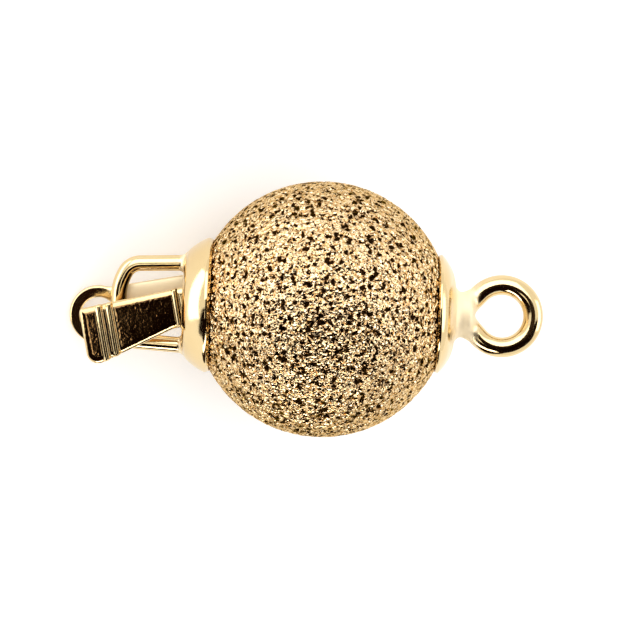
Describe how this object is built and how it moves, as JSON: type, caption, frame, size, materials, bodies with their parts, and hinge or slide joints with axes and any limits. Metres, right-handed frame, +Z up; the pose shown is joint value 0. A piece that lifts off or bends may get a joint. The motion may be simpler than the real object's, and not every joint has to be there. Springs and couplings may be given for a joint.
{
  "type": "ball clasp",
  "caption": "Hollow textured ball clasp with a push-in tongue, thumb tab, guard wire, eyelet and end loop.",
  "frame": {"origin": "on the surface that the clasp lies on, under the middle of its bounding box", "axes": "+Z up; +X along the clasp as seen from above, from the tongue towards the wire loop"},
  "size_m": [0.0136, 0.008, 0.008],
  "materials": {
    "textured_gold": "yellow gold, cut all over with tiny sparkling pits",
    "polished_gold": "yellow gold, mirror polished"
  },
  "bodies": {
    "ball_half": {"ball_shell": "textured_gold", "mouth_collar": "polished_gold", "end_loop": "polished_gold"},
    "tongue": {"tongue_strip": "polished_gold"},
    "leaf": {"thumb_leaf": "polished_gold"}
  },
  "joints": [
    {"name": "tongue_pull", "type": "slide", "parent": "ball_half", "child": "tongue", "axis": [-0.8873, -0.1994, -0.416], "range_m": [0, 0.00653]},
    {"name": "leaf_press", "type": "hinge", "parent": "tongue", "child": "leaf", "pos_m": [0.00084, 0.00104, 0.00463], "axis": [0.1805, -0.9799, 0.0846], "range_deg": [0, 3.3], "stiffness_Nm_per_rad": 0.1}
  ]
}
